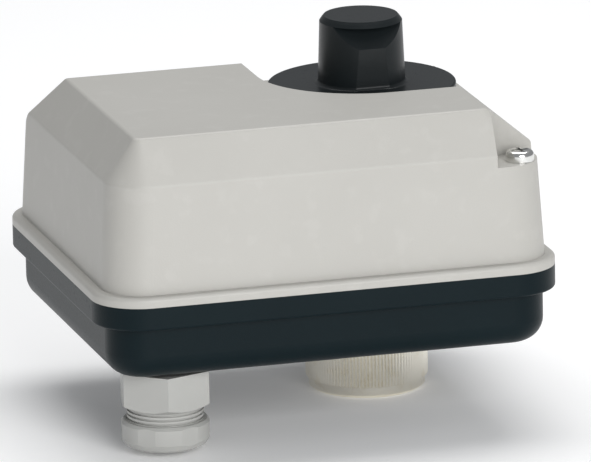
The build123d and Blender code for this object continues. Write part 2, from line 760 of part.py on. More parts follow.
shaft_bush_lower = flanged_bush(lower_plate_z, lower_plate_top)
shaft_bush_lower.label = "shaft_bush_lower"
export_step(shaft_bush_lower, "parts/shaft_bush_lower.step")
shaft_bush_upper = flanged_bush(upper_plate_z, upper_plate_z - plate_thickness)
shaft_bush_upper.label = "shaft_bush_upper"
export_step(shaft_bush_upper, "parts/shaft_bush_upper.step")

with BuildPart() as plate_pillars:
    with BuildSketch(Plane.XY.offset(lower_plate_top)):
        with Locations(*plate_posts):
            Circle(pillar_radius)
            Circle(1.6, mode=Mode.SUBTRACT)
    extrude(amount=upper_plate_z - lower_plate_top)
plate_pillars.part.label = "plate_pillars"
export_step(plate_pillars.part, "parts/plate_pillars.step")

with BuildPart() as plate_screws:
    with BuildSketch(Plane.XY.offset(lower_plate_z)):
        with Locations(*plate_posts):
            Circle(1.5)
    extrude(amount=upper_plate_top - lower_plate_z)
    with BuildSketch(Plane.XY.offset(upper_plate_top)):
        with Locations(*plate_posts):
            Circle(2.8)
    extrude(amount=2.0)
    plate_head = upper_plate_top + 2.0
    fillet(plate_screws.edges().filter_by_position(Axis.Z, plate_head - 0.01, plate_head + 0.01), 0.8)
    with BuildSketch(Plane.XY.offset(plate_head)):
        with Locations(*plate_posts):
            Rectangle(3.4, 0.7)
            Rectangle(0.7, 3.4)
    extrude(amount=-1.2, mode=Mode.SUBTRACT)
plate_screws.part.label = "plate_screws"
export_step(plate_screws.part, "parts/plate_screws.step")

with BuildPart() as gear_arbors:
    with BuildSketch(Plane.XY.offset(lower_plate_z)):
        with Locations(idler_at):
            Circle(arbor_radius)
    extrude(amount=upper_plate_top - lower_plate_z)
    with BuildSketch(Plane.XY.offset(lower_plate_z)):
        with Locations(feedback_at):
            Circle(arbor_radius)
    extrude(amount=gear_z + 1.5 - lower_plate_z)
gear_arbors.part.label = "gear_arbors"
export_step(gear_arbors.part, "parts/gear_arbors.step")

# ---- motor with its gearbox ------------------------------------------------------------------------
gearbox_top = upper_plate_top + gearbox_height
motor_ears = [toward(motor_at, gearbox_radius + 3, angle) for angle in (355, 175)]
with BuildPart() as motor_gearbox:
    with BuildSketch(Plane.XY.offset(upper_plate_top)):
        with Locations(motor_at):
            Circle(gearbox_radius)
    extrude(amount=gearbox_height)
    with BuildSketch(Plane.XY.offset(upper_plate_top)):
        with Locations(*motor_ears):
            Circle(4)
            Circle(1.6, mode=Mode.SUBTRACT)
        with Locations(motor_at):
            Circle(gearbox_radius - 2, mode=Mode.SUBTRACT)
    extrude(amount=1.2)
    with BuildSketch(Plane.XY.offset(upper_plate_top)):
        with Locations(motor_at):
            Circle(motor_shaft_radius + running)
    extrude(amount=4.5, mode=Mode.SUBTRACT)
motor_gearbox.part.label = "motor_gearbox"
export_step(motor_gearbox.part, "parts/motor_gearbox.step")

with BuildPart() as motor_can:
    with BuildSketch(Plane.XY.offset(gearbox_top)):
        with Locations(motor_at):
            Circle(motor_radius)
    extrude(amount=motor_top - gearbox_top)
    fillet(motor_can.faces().sort_by(Axis.Z)[-1].edges(), 1.5)
    with BuildSketch(Plane.XY.offset(gearbox_top + 3)):
        with Locations(toward(motor_at, motor_radius + 1, 225)):
            RectangleRounded(8, 8, 1.5, rotation=45)
    extrude(amount=7)
motor_can.part.label = "motor_can"
export_step(motor_can.part, "parts/motor_can.step")

with BuildPart() as motor_screws:
    with BuildSketch(Plane.XY.offset(upper_plate_top)):
        with Locations(*motor_ears):
            Circle(1.5)
    extrude(amount=1.2)
    with BuildSketch(Plane.XY.offset(upper_plate_top + 1.2)):
        with Locations(*motor_ears):
            Circle(2.6)
    extrude(amount=1.8)
    motor_head = upper_plate_top + 3.0
    with BuildSketch(Plane.XY.offset(motor_head)):
        with Locations(*motor_ears):
            Rectangle(3.2, 0.7)
            Rectangle(0.7, 3.2)
    extrude(amount=-1.0, mode=Mode.SUBTRACT)
motor_screws.part.label = "motor_screws"
export_step(motor_screws.part, "parts/motor_screws.step")

# ---- position sensor -------------------------------------------------------------------------------
with BuildPart() as position_sensor:
    with BuildSketch(Plane.XY.offset(upper_plate_top)):
        with Locations(feedback_at):
            Circle(sensor_radius)
        with Locations((feedback_at[0], feedback_at[1] - sensor_radius + 2)):
            RectangleRounded(11, 8, 1)
    extrude(amount=sensor_height)
    fillet(position_sensor.faces().sort_by(Axis.Z)[-1].edges(), 0.6)
    with BuildSketch(Plane.XY.offset(upper_plate_top)):
        with Locations(feedback_at):
            Circle(3 + running)
    extrude(amount=5.5, mode=Mode.SUBTRACT)
position_sensor.part.label = "position_sensor"
export_step(position_sensor.part, "parts/position_sensor.step")

# ---- circuit board and what it carries -------------------------------------------------------------
with BuildPart() as circuit_board:
    with BuildSketch(Plane.XY.offset(board_z)):
        box_between(*board_box, 1.5)
        with Locations(*board_posts):
            Circle(1.6, mode=Mode.SUBTRACT)
    extrude(amount=board_thickness)
circuit_board.part.label = "circuit_board"
export_step(circuit_board.part, "parts/circuit_board.step")

with BuildPart() as board_screws:
    with BuildSketch(Plane.XY.offset(board_z)):
        with Locations(*board_posts):
            Circle(1.4)
    extrude(amount=board_thickness)
    with BuildSketch(Plane.XY.offset(board_top)):
        with Locations(*board_posts):
            Circle(2.6)
    extrude(amount=1.8)
    with BuildSketch(Plane.XY.offset(board_top + 1.8)):
        with Locations(*board_posts):
            Rectangle(3.2, 0.7)
            Rectangle(0.7, 3.2)
    extrude(amount=-1.0, mode=Mode.SUBTRACT)
board_screws.part.label = "board_screws"
export_step(board_screws.part, "parts/board_screws.step")

terminal_x = board_box[0] + 6.0
terminal_middle_y = (board_box[2] + board_box[3]) / 2
terminal_spots = [(terminal_x, terminal_middle_y + (index - (terminal_count - 1) / 2) * terminal_pitch)
                  for index in range(terminal_count)]
terminal_height = 10.0
with BuildPart() as terminal_block:
    with BuildSketch(Plane.XY.offset(board_top)):
        with Locations((terminal_x + 1.5, terminal_middle_y)):
            Rectangle(9, terminal_count * terminal_pitch - 2)
    extrude(amount=terminal_height)
    with BuildSketch(Plane.XY.offset(board_top + terminal_height)):
        with Locations(*terminal_spots):
            Circle(1.9)
    extrude(amount=-5, mode=Mode.SUBTRACT)
    with BuildSketch(Plane.YZ.offset(terminal_x - 10)):
        with Locations(*[(y, board_top + 3.2) for x, y in terminal_spots]):
            Rectangle(3.0, 3.4)
    extrude(amount=12, mode=Mode.SUBTRACT)
terminal_block.part.label = "terminal_block"
export_step(terminal_block.part, "parts/terminal_block.step")

with BuildPart() as terminal_screws:
    with BuildSketch(Plane.XY.offset(board_top + terminal_height - 3.5)):
        with Locations(*terminal_spots):
            Circle(1.7)
    extrude(amount=2.3)
    with BuildSketch(Plane.XY.offset(board_top + terminal_height - 1.2)):
        with Locations(*terminal_spots):
            Rectangle(2.6, 0.6)
    extrude(amount=-0.8, mode=Mode.SUBTRACT)
terminal_screws.part.label = "terminal_screws"
export_step(terminal_screws.part, "parts/terminal_screws.step")

relay_size = (19.0, 10.0, 14.5)
relay_spots = [(board_box[1] - 17, board_box[2] + across) for across in (9, 21)]
with BuildPart() as relays:
    with BuildSketch(Plane.XY.offset(board_top)):
        with Locations(*relay_spots):
            RectangleRounded(relay_size[0], relay_size[1], 0.8)
    extrude(amount=relay_size[2])
    chamfer(relays.faces().group_by(Axis.Z)[-1].edges(), 0.5)
relays.part.label = "relays"
export_step(relays.part, "parts/relays.step")

capacitor_spot = (board_box[1] - 14, board_box[3] - 6)
capacitor_radius = 5.0
with BuildPart() as capacitor:
    with BuildSketch(Plane.XY.offset(board_top)):
        with Locations(capacitor_spot):
            Circle(capacitor_radius)
    extrude(amount=12.5)
    fillet(capacitor.edges().group_by(Axis.Z)[-1], 0.7)
    with BuildSketch(Plane.XZ.offset(-capacitor_spot[1])):
        with Locations((capacitor_spot[0] + capacitor_radius + 0.3, board_top + 2.2)):
            Circle(0.8)
    revolve(axis=Axis((capacitor_spot[0], capacitor_spot[1], 0), (0, 0, 1)), mode=Mode.SUBTRACT)
capacitor.part.label = "capacitor"
export_step(capacitor.part, "parts/capacitor.step")

switch_spot = (board_box[0] + 18.0, board_box[3] - 5.5)
with BuildPart() as mode_switches:
    with BuildSketch(Plane.XY.offset(board_top)):
        with Locations(switch_spot):
            Rectangle(12, 6.5)
    extrude(amount=4)
    with BuildSketch(Plane.XY.offset(board_top + 4)):
        with Locations(switch_spot):
            with GridLocations(2.6, 0, 4, 1):
                Rectangle(1.4, 3.6)
    extrude(amount=-1.2, mode=Mode.SUBTRACT)
mode_switches.part.label = "mode_switches"
export_step(mode_switches.part, "parts/mode_switches.step")

# ---- cable gland: body, ring, seal, nut inside and cap outside --------------------------------------
gland_hex_bottom = floor_under - gland_hex_height
gland_thread_bottom = gland_cap_top - 4.0
gland_at = (gland_x, gland_y)


def hexagon(across):
    """A hexagon on the gland's axis."""
    with Locations(gland_at):
        RegularPolygon(across / 2, 6, major_radius=False, rotation=gland_turn)


with BuildPart() as gland_body:
    with BuildSketch(Plane.XY.offset(gland_hex_bottom)):
        hexagon(gland_flats)
    extrude(amount=gland_hex_height - 1.2)
    with BuildSketch(Plane.XZ.offset(-gland_y)):
        with BuildLine():
            Polyline((gland_x, gland_hex_bottom), (gland_x + gland_flats / 2 - 0.6, gland_hex_bottom),
                     (gland_x + gland_flats / 2 + 2.4, gland_hex_bottom + 1.8),
                     (gland_x + gland_flats / 2 + 2.4, floor_under), (gland_x, floor_under), close=True)
        make_face()
    revolve(axis=Axis((gland_x, gland_y, 0), (0, 0, 1)), mode=Mode.INTERSECT)
    with BuildSketch(Plane.XY.offset(gland_thread_bottom)):
        with Locations(gland_at):
            Circle(gland_thread_radius)
    extrude(amount=gland_hex_bottom - gland_thread_bottom)
    for ring in range(3):
        with BuildSketch(Plane.XY.offset(gland_hex_bottom - 0.5 - ring * gland_thread_pitch)):
            with Locations(gland_at):
                Circle(gland_thread_radius + 1)
                Circle(gland_thread_radius - gland_thread_groove, mode=Mode.SUBTRACT)
        extrude(amount=-gland_thread_pitch / 2, mode=Mode.SUBTRACT)
    with BuildSketch(Plane.XY.offset(floor_under - 1.2)):
        with Locations(gland_at):
            Circle(gland_stem_radius)
    extrude(amount=1.2 + floor_thickness + gland_nut_height + 1)
    with BuildSketch(Plane.XY.offset(gland_thread_bottom)):
        with Locations(gland_at):
            Circle(gland_bore)
    extrude(amount=4 * gland_hex_height, mode=Mode.SUBTRACT)
    with BuildSketch(Plane.XY.offset(gland_thread_bottom)):
        with Locations(gland_at):
            Circle(gland_bore + 2.0)
    extrude(amount=7, mode=Mode.SUBTRACT)
gland_body.part.label = "gland_body"
export_step(gland_body.part, "parts/gland_body.step")

with BuildPart() as gland_ring:
    with BuildSketch(Plane.XY.offset(floor_under - 1.2 + 0.05)):
        with Locations(gland_at):
            Circle(gland_flats / 2 - 1)
            Circle(gland_stem_radius + slack, mode=Mode.SUBTRACT)
    extrude(amount=1.1)
gland_ring.part.label = "gland_ring"
export_step(gland_ring.part, "parts/gland_ring.step")

with BuildPart() as gland_seal:
    with BuildSketch(Plane.XY.offset(gland_thread_bottom + 0.3)):
        with Locations(gland_at):
            Circle(gland_bore + 2.0 - slack)
            Circle(cable_radius, mode=Mode.SUBTRACT)
    extrude(amount=6.5)
gland_seal.part.label = "gland_seal"
export_step(gland_seal.part, "parts/gland_seal.step")

with BuildPart() as gland_cap:
    with BuildSketch(Plane.XY.offset(gland_cap_bottom)):
        hexagon(gland_flats + 0.6)
    extrude(amount=gland_cap_top - gland_cap_bottom)
    with BuildSketch(Plane.XZ.offset(-gland_y)):
        with BuildLine():
            Polyline((gland_x, gland_cap_bottom), (gland_x + gland_flats / 2 - 2.0, gland_cap_bottom),
                     (gland_x + gland_flats / 2 - 0.4, gland_cap_bottom + 0.9),
                     (gland_x + gland_flats / 2 + 0.6, gland_cap_bottom + 2.6),
                     (gland_x + gland_flats / 2 + 0.6, gland_cap_top - 0.8),
                     (gland_x + gland_flats / 2 - 0.2, gland_cap_top), (gland_x, gland_cap_top), close=True)
        make_face()
    revolve(axis=Axis((gland_x, gland_y, 0), (0, 0, 1)), mode=Mode.INTERSECT)
    with BuildSketch(Plane.XY.offset(gland_thread_bottom - 0.2)):
        with Locations(gland_at):
            Circle(gland_thread_radius + slack)
    extrude(amount=gland_cap_top - gland_thread_bottom + 1, mode=Mode.SUBTRACT)
    with BuildSketch(Plane.XY.offset(gland_cap_bottom)):
        with Locations(gland_at):
            Circle(cable_radius + 1.2)
    extrude(amount=gland_cap_top - gland_cap_bottom, mode=Mode.SUBTRACT)
gland_cap.part.label = "gland_cap"
export_step(gland_cap.part, "parts/gland_cap.step")

with BuildPart() as gland_lock_nut:
    with BuildSketch(Plane.XY.offset(floor_top)):
        hexagon(gland_flats + 1)
        with Locations(gland_at):
            Circle(gland_stem_radius + slack, mode=Mode.SUBTRACT)
    extrude(amount=gland_nut_height)
gland_lock_nut.part.label = "gland_lock_nut"
export_step(gland_lock_nut.part, "parts/gland_lock_nut.step")
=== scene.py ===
# %% [markdown]
# This lesson dresses a motorized valve actuator in Blender. The object is a small electric drive that
# hangs on a heating valve: a grey cover with a hipped roof, a black base, a knob to turn it by hand, a
# knurled nut that screws onto the valve and a gland for the cable. All parts that turn, slide or fit
# come from the CAD frame. Here they get their finishes, and the small pieces that only matter to the
# eye, such as resistors, leads and solder joints, are modelled around them.

# %% Load the frame
import json
import math
import bmesh
import bpy
from mathutils import Matrix, Vector


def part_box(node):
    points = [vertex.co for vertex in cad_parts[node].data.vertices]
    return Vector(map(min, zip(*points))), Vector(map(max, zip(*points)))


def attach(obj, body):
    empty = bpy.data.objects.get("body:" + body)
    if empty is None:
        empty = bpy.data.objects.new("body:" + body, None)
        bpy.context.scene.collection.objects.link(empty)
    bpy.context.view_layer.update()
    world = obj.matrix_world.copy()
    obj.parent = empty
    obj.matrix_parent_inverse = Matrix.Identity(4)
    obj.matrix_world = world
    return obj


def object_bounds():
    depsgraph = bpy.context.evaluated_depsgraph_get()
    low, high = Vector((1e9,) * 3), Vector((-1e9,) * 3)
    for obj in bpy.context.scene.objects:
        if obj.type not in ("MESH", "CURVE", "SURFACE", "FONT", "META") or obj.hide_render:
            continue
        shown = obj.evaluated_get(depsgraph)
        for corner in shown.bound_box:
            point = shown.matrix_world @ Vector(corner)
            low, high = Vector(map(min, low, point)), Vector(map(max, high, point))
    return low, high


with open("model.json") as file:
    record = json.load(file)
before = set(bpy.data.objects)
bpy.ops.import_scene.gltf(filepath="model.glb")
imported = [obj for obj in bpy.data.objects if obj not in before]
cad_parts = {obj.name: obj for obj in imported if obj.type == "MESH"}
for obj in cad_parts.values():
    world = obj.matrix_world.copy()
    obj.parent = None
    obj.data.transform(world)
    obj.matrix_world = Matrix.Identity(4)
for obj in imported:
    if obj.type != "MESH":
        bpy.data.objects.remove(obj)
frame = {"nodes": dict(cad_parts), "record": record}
nodes = frame["nodes"]
cad_low, cad_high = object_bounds()
mm = 0.001
print("CAD nodes:", len(nodes), "size in mm:", [round(v / mm, 1) for v in cad_high - cad_low])

# %% [markdown]
# A long lens far away flattens the view, so parallel edges stay nearly parallel.
# The camera looks at a point in front of the drive's middle from the front left and a little above,
# and is rolled by one degree.

# %% Camera
view_target = Vector((-31.7, -37.3, 50.4)) * mm
view_azimuth, view_elevation, view_roll = map(math.radians, (-15.66, 14.64, -1.09))
view_distance = 3.0036
view_lens = 624.2
sensor_width = 36
far_clip = 20

back = Vector((math.sin(view_azimuth) * math.cos(view_elevation),
               -math.cos(view_azimuth) * math.cos(view_elevation), math.sin(view_elevation)))
level = Vector((math.cos(view_azimuth), math.sin(view_azimuth), 0))
upright = back.cross(level)
right = level * math.cos(view_roll) + upright * math.sin(view_roll)
up = upright * math.cos(view_roll) - level * math.sin(view_roll)
camera = bpy.data.objects.new("camera", bpy.data.cameras.new("camera"))
camera.matrix_world = Matrix.Translation(view_target + back * view_distance) @ Matrix(
    (right, up, back)).transposed().to_4x4()
camera.data.lens = view_lens
camera.data.sensor_width = sensor_width
camera.data.clip_end = far_clip
bpy.context.scene.collection.objects.link(camera)
bpy.context.scene.camera = camera
print("camera at", [round(v, 3) for v in camera.matrix_world.translation])

# %% [markdown]
# Shader maths reads best as plain expressions. A small class wraps a socket: `mask * 0.2 + 0.3` adds
# the Math nodes for it. Every other kind of node comes from one method, which takes the node's type,
# its settings and what goes into its sockets.

# %% Shader helper


class Wire:
    """One output socket of a material, which can be used in an expression like a number."""

    def __init__(self, tree, socket=None):
        self.tree = tree
        self.socket = socket

    def node(self, kind, settings=None, out=0, **sockets):
        """Adds any node and gives its output as a Wire. Spaces in socket names are written as _."""
        made = self.tree.nodes.new("ShaderNode" + kind)
        for key, value in (settings or {}).items():
            if key == "stops":
                while len(made.color_ramp.elements) < len(value):
                    made.color_ramp.elements.new(1.0)
                for element, (place, shade) in zip(made.color_ramp.elements, value):
                    element.position = place
                    element.color = shade if isinstance(shade, tuple) else (shade, shade, shade, 1)
            else:
                setattr(made, key, value)
        for key, value in sockets.items():
            name = key.replace("_", " ")
            target = made.inputs[int(key[1:])] if key[1:].isdigit() else made.inputs[name]
            self.feed(target, value)
        return Wire(self.tree, made.outputs[out])

    def feed(self, target, value):
        """Links a Wire to an input socket, or sets the socket to a number, colour or vector."""
        if isinstance(value, Wire):
            self.tree.links.new(value.socket, target)
        else:
            target.default_value = value

    def maths(self, operation, first, second):
        return self.node("Math", {"operation": operation}, i0=first, i1=second)

    def __add__(self, other):
        return self.maths("ADD", self, other)

    def __radd__(self, other):
        return self.maths("ADD", other, self)

    def __sub__(self, other):
        return self.maths("SUBTRACT", self, other)

    def __rsub__(self, other):
        return self.maths("SUBTRACT", other, self)

    def __mul__(self, other):
        return self.maths("MULTIPLY", self, other)

    def __rmul__(self, other):
        return self.maths("MULTIPLY", other, self)

    def above(self, edge, width):
        """A mask that rises from 0 to 1 as this value passes an edge."""
        return self.node("MapRange", {"interpolation_type": "SMOOTHSTEP"}, Value=self,
                         From_Min=edge - width, From_Max=edge + width)

    def mix(self, low, high):
        """A colour between two, chosen by this value."""
        return self.node("Mix", {"data_type": "RGBA"}, out=2, i0=self, i6=low, i7=high)


def rgba(red, green, blue):
    return (red, green, blue, 1.0)


def new_finish(name):
    """A material with its shader, its object coordinates and a start for its expressions."""
    material = bpy.data.materials.new(name)
    material.use_nodes = True
    tree = material.node_tree
    shader = tree.nodes["Principled BSDF"]
    start = Wire(tree)
    place = start.node("TexCoord", out=3)
    return material, shader, start, place


def finish_with(start, shader, **values):
    """Sets or links the shader's sockets; spaces in their names are written as _."""
    for key, value in values.items():
        start.feed(shader.inputs[key.replace("_", " ")], value)


def noise(start, place, scale, detail=3.0, roughness=0.5):
    return start.node("TexNoise", Vector=place, Scale=scale, Detail=detail, Roughness=roughness)


def bump(start, height, distance, strength=1.0):
    return start.node("Bump", Height=height, Distance=distance, Strength=strength)


print("shader helper ready")

# %% [markdown]
# The floor is a plain pale sheet. A large soft light low in front, a wide one overhead and a dim world
# give an even studio light: the front is brightest and the left end falls darker.

# %% Floor and light


def sheet_finish():
    material, shader, start, place = new_finish("pale_floor")
    finish_with(start, shader, Base_Color=rgba(0.97, 0.97, 0.97), Roughness=0.9, Specular_IOR_Level=0.1,
                Emission_Color=rgba(1.0, 1.0, 1.0), Emission_Strength=0.10)
    return material


floor_size = 6.0
floor_gap = 0.2 * mm
floor_mesh = bpy.data.meshes.new("floor")
half = floor_size / 2
floor_mesh.from_pydata([(-half, -half, 0), (half, -half, 0), (half, half, 0), (-half, half, 0)], [],
                       [(0, 1, 2, 3)])
floor = bpy.data.objects.new("floor", floor_mesh)
floor.location.z = cad_low.z - floor_gap
floor_mesh.materials.append(sheet_finish())
bpy.context.scene.collection.objects.link(floor)


def soft_light(name, place, size, power, aim):
    lamp = bpy.data.objects.new(name, bpy.data.lights.new(name, "AREA"))
    lamp.data.shape = "RECTANGLE"
    lamp.data.size, lamp.data.size_y = size
    lamp.data.energy = power
    lamp.location = place
    lamp.rotation_euler = (Vector(aim) - Vector(place)).to_track_quat("-Z", "Y").to_euler()
    bpy.context.scene.collection.objects.link(lamp)


middle = tuple((cad_low + cad_high) / 2)

soft_light("key_light", (0.1, -1.4, 0.5), (0.8, 0.8), 13.4, middle)
soft_light("top_light", (0.1, 0.35, 1.3), (1.2, 0.8), 12.0, middle)
sky_colour = (0.95, 0.97, 1.0, 1.0)
sky_strength = 0.30
world = bpy.data.worlds.new("studio")
world.use_nodes = True
world.node_tree.nodes["Background"].inputs["Color"].default_value = sky_colour
world.node_tree.nodes["Background"].inputs["Strength"].default_value = sky_strength
bpy.context.scene.world = world
bpy.context.scene.view_settings.view_transform = "Standard"
print("floor at", round(floor.location.z / mm, 2), "mm")

# %% [markdown]
# The cover is moulded in a warm light grey. Close up its skin is a fine, even grain, with a very faint
# change of tone over its faces, so it never looks like flat paint.

# %% Grey cover finish


def grey_moulding(name, low, high, grain, roughness):
    material, shader, start, place = new_finish(name)
    tone = noise(start, place, 28.0)
    skin = noise(start, place, grain, 2.0, 0.6)
    dust = noise(start, place, 160.0, 4.0).above(0.62, 0.08)
    colour = (tone * 0.7 + dust * 0.25).mix(low, high)
    finish_with(start, shader, Base_Color=colour, Roughness=roughness + skin * 0.08,
                Normal=bump(start, skin, 0.00006, 0.5), IOR=1.48)
    return material


cover_grey = grey_moulding("cover_grey", rgba(0.45, 0.44, 0.41), rgba(0.51, 0.50, 0.47), 2600.0, 0.42)
print("made", cover_grey.name)

# %% [markdown]
# The base and the knob are black plastic. The base has a fine spark-eroded grain and reflects little.
# The knob has a finer grain, is a shade lighter and reflects more, since hands polish it.

# %% Black plastic finishes


def black_moulding(name, low, high, grain, roughness, depth, shine):
    material, shader, start, place = new_finish(name)
    tone = noise(start, place, 40.0)
    skin = noise(start, place, grain, 2.0, 0.6)
    scuff = noise(start, place, 420.0, 5.0, 0.7).above(0.66, 0.06)
    finish_with(start, shader, Base_Color=(tone * 0.8 + scuff * 0.3).mix(low, high),
                Roughness=roughness + skin * 0.1 + scuff * 0.1, Normal=bump(start, skin, depth, 0.6),
                Specular_IOR_Level=shine)
    return material


base_black = black_moulding("base_black", rgba(0.0004, 0.0058, 0.0085), rgba(0.0016, 0.0100, 0.0130),
                            2200.0, 0.34, 0.00006, 0.15)
knob_black = black_moulding("knob_black", rgba(0.006, 0.009, 0.010), rgba(0.012, 0.016, 0.018),
                            3000.0, 0.30, 0.00004, 0.28)
print("made", base_black.name, knob_black.name)

# %% [markdown]
# Metals differ in their tint and in the way they were worked. Turned parts carry fine rings about their
# axis, ground parts fine lines along it, zinc plate a mottled crystal bloom. One function makes all of
# them from a tint, a grain and the direction of that grain.

# %% Metal finishes


def metal(name, tint, dark, roughness, grain_scale, bloom=0.0):
    material, shader, start, place = new_finish(name)
    stretched = start.node("Mapping", Vector=place, Scale=grain_scale)
    lines = noise(start, stretched, 1.0, 3.0, 0.6)
    stain = noise(start, place, 220.0, 4.0, 0.6).above(0.6, 0.1)
    crystal = start.node("TexVoronoi", Vector=place, Scale=900.0)
    colour = (stain * 0.45 + lines * 0.3).mix(tint, dark)
    finish_with(start, shader, Base_Color=colour, Metallic=1.0,
                Roughness=roughness + lines * 0.12 + stain * 0.08 + crystal * bloom,
                Normal=bump(start, lines, 0.00003, 0.35))
    return material


rings = (60.0, 60.0, 9000.0)
even = (1800.0, 1800.0, 1800.0)
along = (9000.0, 9000.0, 80.0)
nickel = metal("nickel_brass", rgba(0.92, 0.89, 0.80), rgba(0.80, 0.74, 0.60), 0.07, rings)
bright = metal("bright_plating", rgba(0.82, 0.82, 0.80), rgba(0.60, 0.60, 0.58), 0.13, even)
ground = metal("ground_steel", rgba(0.62, 0.62, 0.61), rgba(0.45, 0.45, 0.44), 0.2, along)
zinc = metal("zinc_plate", rgba(0.60, 0.61, 0.58), rgba(0.44, 0.45, 0.40), 0.26, even, 0.12)
spring = metal("spring_steel", rgba(0.30, 0.30, 0.31), rgba(0.2, 0.2, 0.2), 0.3, even)
brass = metal("cut_brass", rgba(0.75, 0.57, 0.27), rgba(0.56, 0.40, 0.17), 0.2, rings)
bronze = metal("sintered_bronze", rgba(0.50, 0.33, 0.17), rgba(0.36, 0.23, 0.12), 0.42, even)
print("made", len([m for m in bpy.data.materials if m.use_nodes]), "finishes so far")

# %% [markdown]
# The remaining plastics differ only in colour, gloss and grain, so one function with two close tones
# serves them all. The circuit board needs its own: the joints of a brick pattern stand for the copper
# tracks under the green lacquer, and a slight bump lifts them.

# %% Plastics, rubber and board finishes


def plain_plastic(name, low, high, roughness, grain=1800.0, depth=0.00004):
    material, shader, start, place = new_finish(name)
    tone = noise(start, place, 60.0)
    skin = noise(start, place, grain, 2.0, 0.6)
    finish_with(start, shader, Base_Color=tone.mix(low, high), Roughness=roughness + skin * 0.1,
                Normal=bump(start, skin, depth, 0.5))
    return material


gland_grey = plain_plastic("gland_grey", rgba(0.42, 0.42, 0.40), rgba(0.49, 0.49, 0.47), 0.26)
rubber = plain_plastic("seal_rubber", rgba(0.012, 0.012, 0.012), rgba(0.022, 0.022, 0.022), 0.6)
white_acetal = plain_plastic("white_acetal", rgba(0.74, 0.73, 0.67), rgba(0.80, 0.79, 0.73), 0.36)
black_acetal = plain_plastic("black_acetal", rgba(0.015, 0.015, 0.015), rgba(0.03, 0.03, 0.03), 0.35)
sensor_blue = plain_plastic("sensor_blue", rgba(0.02, 0.07, 0.28), rgba(0.03, 0.10, 0.36), 0.28)
terminal_green = plain_plastic("terminal_green", rgba(0.02, 0.22, 0.08), rgba(0.03, 0.28, 0.11), 0.36)
relay_black = plain_plastic("relay_black", rgba(0.012, 0.012, 0.013), rgba(0.02, 0.02, 0.02), 0.25)
sleeve_dark = plain_plastic("capacitor_sleeve", rgba(0.01, 0.012, 0.03), rgba(0.015, 0.02, 0.05), 0.2)
switch_red = plain_plastic("switch_red", rgba(0.42, 0.02, 0.015), rgba(0.52, 0.03, 0.02), 0.3)
motor_steel = metal("motor_steel", rgba(0.55, 0.55, 0.54), rgba(0.42, 0.42, 0.40), 0.28, rings, 0.06)
black_metal = plain_plastic("black_metal", rgba(0.012, 0.012, 0.013), rgba(0.03, 0.03, 0.03), 0.35)


def board_finish():
    material, shader, start, place = new_finish("board_green")
    cells = start.node("TexBrick", {"offset": 0.35, "squash": 1.0}, out=1, Vector=place, Scale=210.0,
                       Mortar_Size=0.03)
    weave = noise(start, place, 1500.0)
    colour = (cells * 0.8).mix(rgba(0.004, 0.075, 0.03), rgba(0.012, 0.15, 0.06))
    finish_with(start, shader, Base_Color=colour, Roughness=0.2 + weave * 0.1,
                Normal=bump(start, cells, 0.00004, 0.5))
    return material


board_green = board_finish()
print("finishes:", len(bpy.data.materials))

# %% [markdown]
# Every CAD node is given its finish by the slot it has in the record, so a node that is added later
# can't be forgotten: the loop stops if a slot has no finish here.

# %% Dress the CAD nodes
finishes = {
    "black_housing": base_black, "grey_cover": cover_grey, "seal_rubber": rubber, "plated_screw": bright,
    "black_knob": knob_black, "spring_steel": spring, "nickel_brass": nickel, "black_metal": black_metal,
    "steel": zinc, "bronze": bronze, "ground_steel": ground, "white_acetal": white_acetal, "brass": brass,
    "black_acetal": black_acetal, "zinc_steel": zinc, "motor_steel": motor_steel,
    "blue_plastic": sensor_blue, "board_green": board_green, "terminal_green": terminal_green,
    "relay_black": relay_black, "capacitor_sleeve": sleeve_dark, "switch_red": switch_red,
    "gland_grey": gland_grey}
for part in frame["record"]["subparts"]:
    mesh = nodes[part["node"]].data
    mesh.materials.clear()
    mesh.materials.append(finishes[part["material_slot"]])

# %% [markdown]
# With the cover lifted off, the circuit board shows. A bare board with only its big parts looks like a
# toy, so it gets the small ones: resistors on bent leads, a controller chip with its legs, ceramic
# capacitors, and a dome of solder at the foot of each lead. Each is a profile turned about an axis, a
# bent tube or a bevelled block. Their heights and the resistors' places come from the board's own box,
# the chip and the capacitors stand at fixed spots, and all of them ride on the base.

# %% Small part helpers
board_low, board_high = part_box("circuit_board")
board_top = board_high.z
sharp_from = 40


def piece_from(mesh_builder, name, finish, place, body="base"):
    """Turns a bmesh into a smooth-shaded piece at a place, on a body."""
    mesh = bpy.data.meshes.new(name)
    mesh_builder.to_mesh(mesh)
    mesh_builder.free()
    mesh.materials.append(finish)
    piece = bpy.data.objects.new(name, mesh)
    piece.location = place
    bpy.context.scene.collection.objects.link(piece)
    for face in mesh.polygons:
        face.use_smooth = True
    mesh.set_sharp_from_angle(angle=math.radians(sharp_from))
    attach(piece, body)
    return piece


def turned(profile, axis="Z", steps=20):
    """A closed solid from a profile of (radius, height) pairs that starts and ends on the axis."""
    builder = bmesh.new()
    layers = []
    for radius, height in profile:
        around = 1 if radius == 0 else steps
        ring = []
        for step in range(around):
            angle = 2 * math.pi * step / steps
            spot = (radius * math.cos(angle) * mm, radius * math.sin(angle) * mm, height * mm)
            ring.append(builder.verts.new(spot))
        layers.append(ring)
    for lower, upper in zip(layers, layers[1:]):
        for step in range(steps):
            after = (step + 1) % steps
            corners = [lower[step % len(lower)], lower[after % len(lower)],
                       upper[after % len(upper)], upper[step % len(upper)]]
            builder.faces.new(list(dict.fromkeys(corners)))
    if axis == "Y":
        bmesh.ops.rotate(builder, verts=builder.verts, matrix=Matrix.Rotation(math.pi / 2, 3, "X"))
    bmesh.ops.recalc_face_normals(builder, faces=builder.faces)
    return builder


